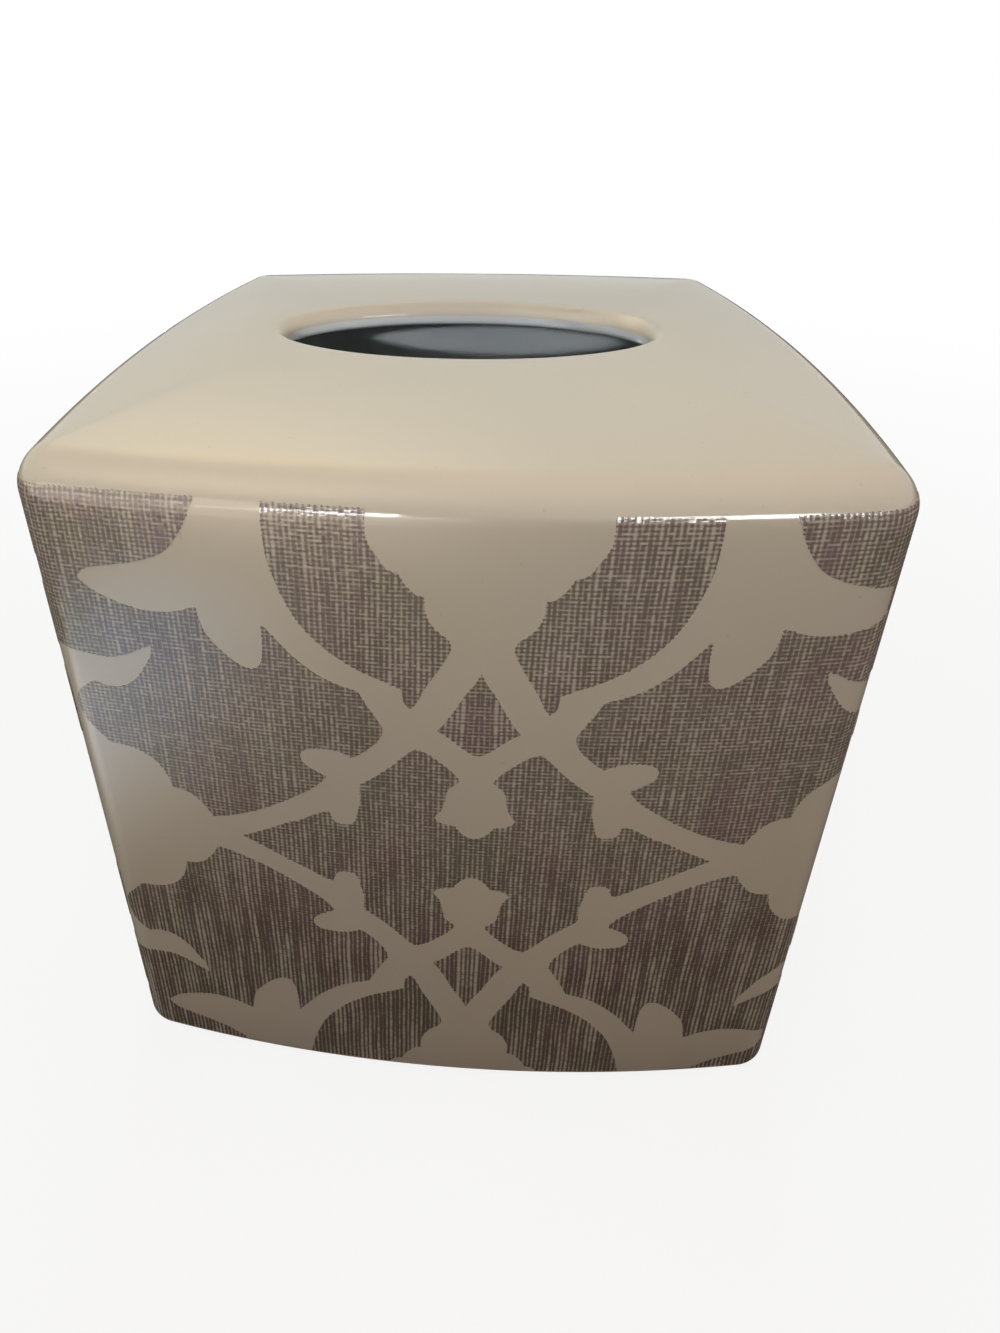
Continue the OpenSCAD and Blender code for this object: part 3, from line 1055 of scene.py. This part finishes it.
def soft_box(name, place, aim, size, watts, tint, in_gloss=False, beam=180):
    """An area lamp that faces aim. It lights the cover, or shows as a highlight in its gloss alone."""
    lamp = bpy.data.lights.new(name, "AREA")
    lamp.shape = "RECTANGLE"
    lamp.size, lamp.size_y = size
    lamp.energy = watts
    lamp.color = tint
    lamp.spread = math.radians(beam)
    holder = bpy.data.objects.new(name, lamp)
    holder.location = place
    holder.rotation_euler = (Vector(aim) - Vector(place)).to_track_quat("-Z", "Y").to_euler()
    holder.visible_camera = False
    holder.visible_glossy = in_gloss
    holder.visible_diffuse = not in_gloss
    bpy.context.collection.objects.link(holder)


def lights():
    """Soft boxes round the cover, and the windows and glow that only its gloss shows."""
    top = (0, 0, rim_z)
    near_edge = (0, -half_w, rim_z)
    shoulder = (0, -half_w, shoulder_mid_z)
    left_side = (-half_w, 0, rim_z / 2)
    right_side = (half_w, 0, rim_z / 2)
    back_z = 0.07
    back_side = (0, half_w, back_z)
    inside = (0.012, half_w - wall, 0.82 * rim_z)

    big = (0.6, 0.6)
    soft_box("behind", (0.0, 0.9, 0.6), top, size=big, watts=4.4, tint=(0.60, 0.95, 0.95))
    wide = (0.8, 0.8)
    soft_box("overhead", (0.0, 0.1, 0.9), top, size=wide, watts=1.5, tint=(1.0, 0.64, 0.38))
    strip = (0.28, 0.1)
    key_tint = (1.0, 0.96, 0.93)
    soft_box("over_front", (-0.015, -0.22, 0.30), near_edge, size=strip, watts=0.385, tint=key_tint)
    square = (0.4, 0.4)
    soft_box("left_wall", (-0.9, 0.0, 0.25), left_side, size=square, watts=2.8, tint=(0.90, 1.0, 1.0))
    soft_box("right_wall", (0.9, 0.0, 0.25), right_side, size=square, watts=2.2, tint=(1.0, 0.88, 0.86))
    thin = (0.4, 0.06)
    soft_box("back_wall", (0.0, 0.9, back_z), back_side, size=thin, watts=2.0, tint=(1.0, 0.55, 0.42))
    slit = (0.16, 0.015)
    slot_tint = (0.92, 0.96, 1.0)
    soft_box("slot_beam", (-0.06, -0.6, 0.315), inside, size=slit, watts=0.0035, tint=slot_tint, beam=4)

    daylight = {"tint": (1.0, 1.0, 1.0), "in_gloss": True}
    soft_box("left_window", (-0.32, -1.16, 0.14), shoulder, size=(0.32, 0.14), watts=3.5, **daylight)
    soft_box("right_window", (0.535, -1.07, 0.19), shoulder, size=(0.44, 0.14), watts=4.9, **daylight)
    lamplight = {"tint": (1.0, 0.88, 0.74), "in_gloss": True}
    soft_box("left_glow", (-0.95, -1.2, 0.26), shoulder, size=(0.9, 0.5), watts=4.2, **lamplight)


def camera():
    """The photograph's own view: its frame, focal length and optical axis in pixels, and the eye's place."""
    frame_w = 1000
    frame_h = 1333
    focal = 782.5
    axis_x = 432.3
    axis_y = 469.9
    eye = (5.64 * mm, -172.67 * mm, 192.24 * mm)
    yaw = math.radians(-4.469)
    pitch = math.radians(25.509)
    roll = math.radians(-0.446)
    data = bpy.data.cameras.new("camera")
    # The sensor's width lies along the longer side of the frame, which is its height
    data.sensor_width = 36
    data.lens = data.sensor_width * focal / frame_h
    data.shift_x = (frame_w / 2 - axis_x) / frame_h
    data.shift_y = (axis_y - frame_h / 2) / frame_h
    data.clip_start = 0.01
    holder = bpy.data.objects.new("camera", data)
    forward = Vector((math.sin(yaw) * math.cos(pitch), math.cos(yaw) * math.cos(pitch), -math.sin(pitch)))
    level = Vector((math.cos(yaw), -math.sin(yaw), 0))
    right = math.cos(roll) * level + math.sin(roll) * level.cross(forward)
    turned = Matrix((right, right.cross(forward), -forward)).transposed()
    holder.matrix_world = Matrix.Translation(eye) @ turned.to_4x4()
    bpy.context.collection.objects.link(holder)
    bpy.context.scene.camera = holder


camera()
glaze = glaze_group()
linen = linen_group()
cream_glaze = glaze_material(glaze)
fired_print = print_material(glaze, linen)
glazed_shell(cream_glaze, biscuit_material(), hollow_material(glaze))
for quarter, name in enumerate(("print_front", "print_right", "print_back", "print_left")):
    transfer_print(name, quarter, fired_print)
floor()
world()
lights()
bpy.context.scene.view_settings.view_transform = "Standard"
